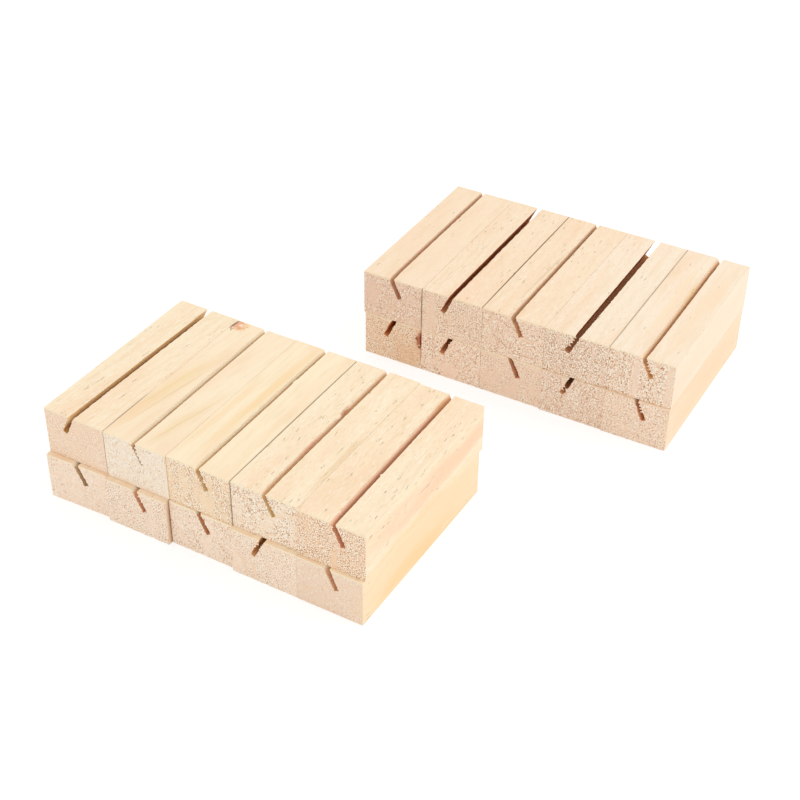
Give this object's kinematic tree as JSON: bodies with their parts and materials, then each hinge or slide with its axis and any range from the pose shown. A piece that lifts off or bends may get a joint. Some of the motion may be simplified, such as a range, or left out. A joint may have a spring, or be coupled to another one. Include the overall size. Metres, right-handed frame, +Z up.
{
  "type": "place card holder",
  "caption": "Solid wooden blocks stacked in piles, each with a slanting saw slot along its top that holds a place card on edge.",
  "frame": {"origin": "bottom centre of the box round both piles, on the surface that they stand on", "axes": "+Z up, +Y along the holders and their slots towards the far pile, +X along each row from left to right"},
  "size_m": [0.2252, 0.2732, 0.0477],
  "materials": {
    "pine_cream": "planed pine, unfinished, sawn ends",
    "pine_rose": "planed pinkish pine, unfinished, sawn ends",
    "pine_straw": "planed yellowish pine, unfinished, sawn ends"
  },
  "bodies": {
    "near_bottom_1": {"near_bottom_1": "pine_rose"},
    "near_bottom_2": {"near_bottom_2": "pine_rose"},
    "near_bottom_3": {"near_bottom_3": "pine_straw"},
    "near_bottom_4": {"near_bottom_4": "pine_straw"},
    "near_bottom_5": {"near_bottom_5": "pine_rose"},
    "near_top_1": {"near_top_1": "pine_cream"},
    "near_top_2": {"near_top_2": "pine_straw"},
    "near_top_3": {"near_top_3": "pine_cream"},
    "near_top_4": {"near_top_4": "pine_cream"},
    "near_top_5": {"near_top_5": "pine_straw"},
    "far_bottom_1": {"far_bottom_1": "pine_rose"},
    "far_bottom_2": {"far_bottom_2": "pine_cream"},
    "far_bottom_3": {"far_bottom_3": "pine_cream"},
    "far_bottom_4": {"far_bottom_4": "pine_rose"},
    "far_bottom_5": {"far_bottom_5": "pine_straw"},
    "far_top_1": {"far_top_1": "pine_cream"},
    "far_top_2": {"far_top_2": "pine_cream"},
    "far_top_3": {"far_top_3": "pine_straw"},
    "far_top_4": {"far_top_4": "pine_cream"},
    "far_top_5": {"far_top_5": "pine_cream"}
  },
  "joints": [
    {"name": "near_bottom_1_lift", "type": "slide", "parent": "near_bottom_3", "child": "near_bottom_1", "axis": [0, 0, 1], "range_m": [0, 0.06]},
    {"name": "near_bottom_2_lift", "type": "slide", "parent": "near_bottom_3", "child": "near_bottom_2", "axis": [0, 0, 1], "range_m": [0, 0.06]},
    {"name": "near_bottom_4_lift", "type": "slide", "parent": "near_bottom_3", "child": "near_bottom_4", "axis": [0, 0, 1], "range_m": [0, 0.06]},
    {"name": "near_bottom_5_lift", "type": "slide", "parent": "near_bottom_3", "child": "near_bottom_5", "axis": [0, 0, 1], "range_m": [0, 0.06]},
    {"name": "near_top_1_lift", "type": "slide", "parent": "near_bottom_1", "child": "near_top_1", "axis": [0, 0, 1], "range_m": [0, 0.035]},
    {"name": "near_top_2_lift", "type": "slide", "parent": "near_bottom_2", "child": "near_top_2", "axis": [0, 0, 1], "range_m": [0, 0.035]},
    {"name": "near_top_3_lift", "type": "slide", "parent": "near_bottom_3", "child": "near_top_3", "axis": [0, 0, 1], "range_m": [0, 0.035]},
    {"name": "near_top_4_lift", "type": "slide", "parent": "near_bottom_4", "child": "near_top_4", "axis": [0, 0, 1], "range_m": [0, 0.035]},
    {"name": "near_top_5_lift", "type": "slide", "parent": "near_bottom_5", "child": "near_top_5", "axis": [0, 0, 1], "range_m": [0, 0.035]},
    {"name": "far_bottom_1_lift", "type": "slide", "parent": "near_bottom_3", "child": "far_bottom_1", "axis": [0, 0, 1], "range_m": [0, 0.06]},
    {"name": "far_bottom_2_lift", "type": "slide", "parent": "near_bottom_3", "child": "far_bottom_2", "axis": [0, 0, 1], "range_m": [0, 0.06]},
    {"name": "far_bottom_3_lift", "type": "slide", "parent": "near_bottom_3", "child": "far_bottom_3", "axis": [0, 0, 1], "range_m": [0, 0.06]},
    {"name": "far_bottom_4_lift", "type": "slide", "parent": "near_bottom_3", "child": "far_bottom_4", "axis": [0, 0, 1], "range_m": [0, 0.06]},
    {"name": "far_bottom_5_lift", "type": "slide", "parent": "near_bottom_3", "child": "far_bottom_5", "axis": [0, 0, 1], "range_m": [0, 0.06]},
    {"name": "far_top_1_lift", "type": "slide", "parent": "far_bottom_1", "child": "far_top_1", "axis": [0, 0, 1], "range_m": [0, 0.035]},
    {"name": "far_top_2_lift", "type": "slide", "parent": "far_bottom_2", "child": "far_top_2", "axis": [0, 0, 1], "range_m": [0, 0.035]},
    {"name": "far_top_3_lift", "type": "slide", "parent": "far_bottom_3", "child": "far_top_3", "axis": [0, 0, 1], "range_m": [0, 0.035]},
    {"name": "far_top_4_lift", "type": "slide", "parent": "far_bottom_4", "child": "far_top_4", "axis": [0, 0, 1], "range_m": [0, 0.035]},
    {"name": "far_top_5_lift", "type": "slide", "parent": "far_bottom_5", "child": "far_top_5", "axis": [0, 0, 1], "range_m": [0, 0.035]}
  ]
}
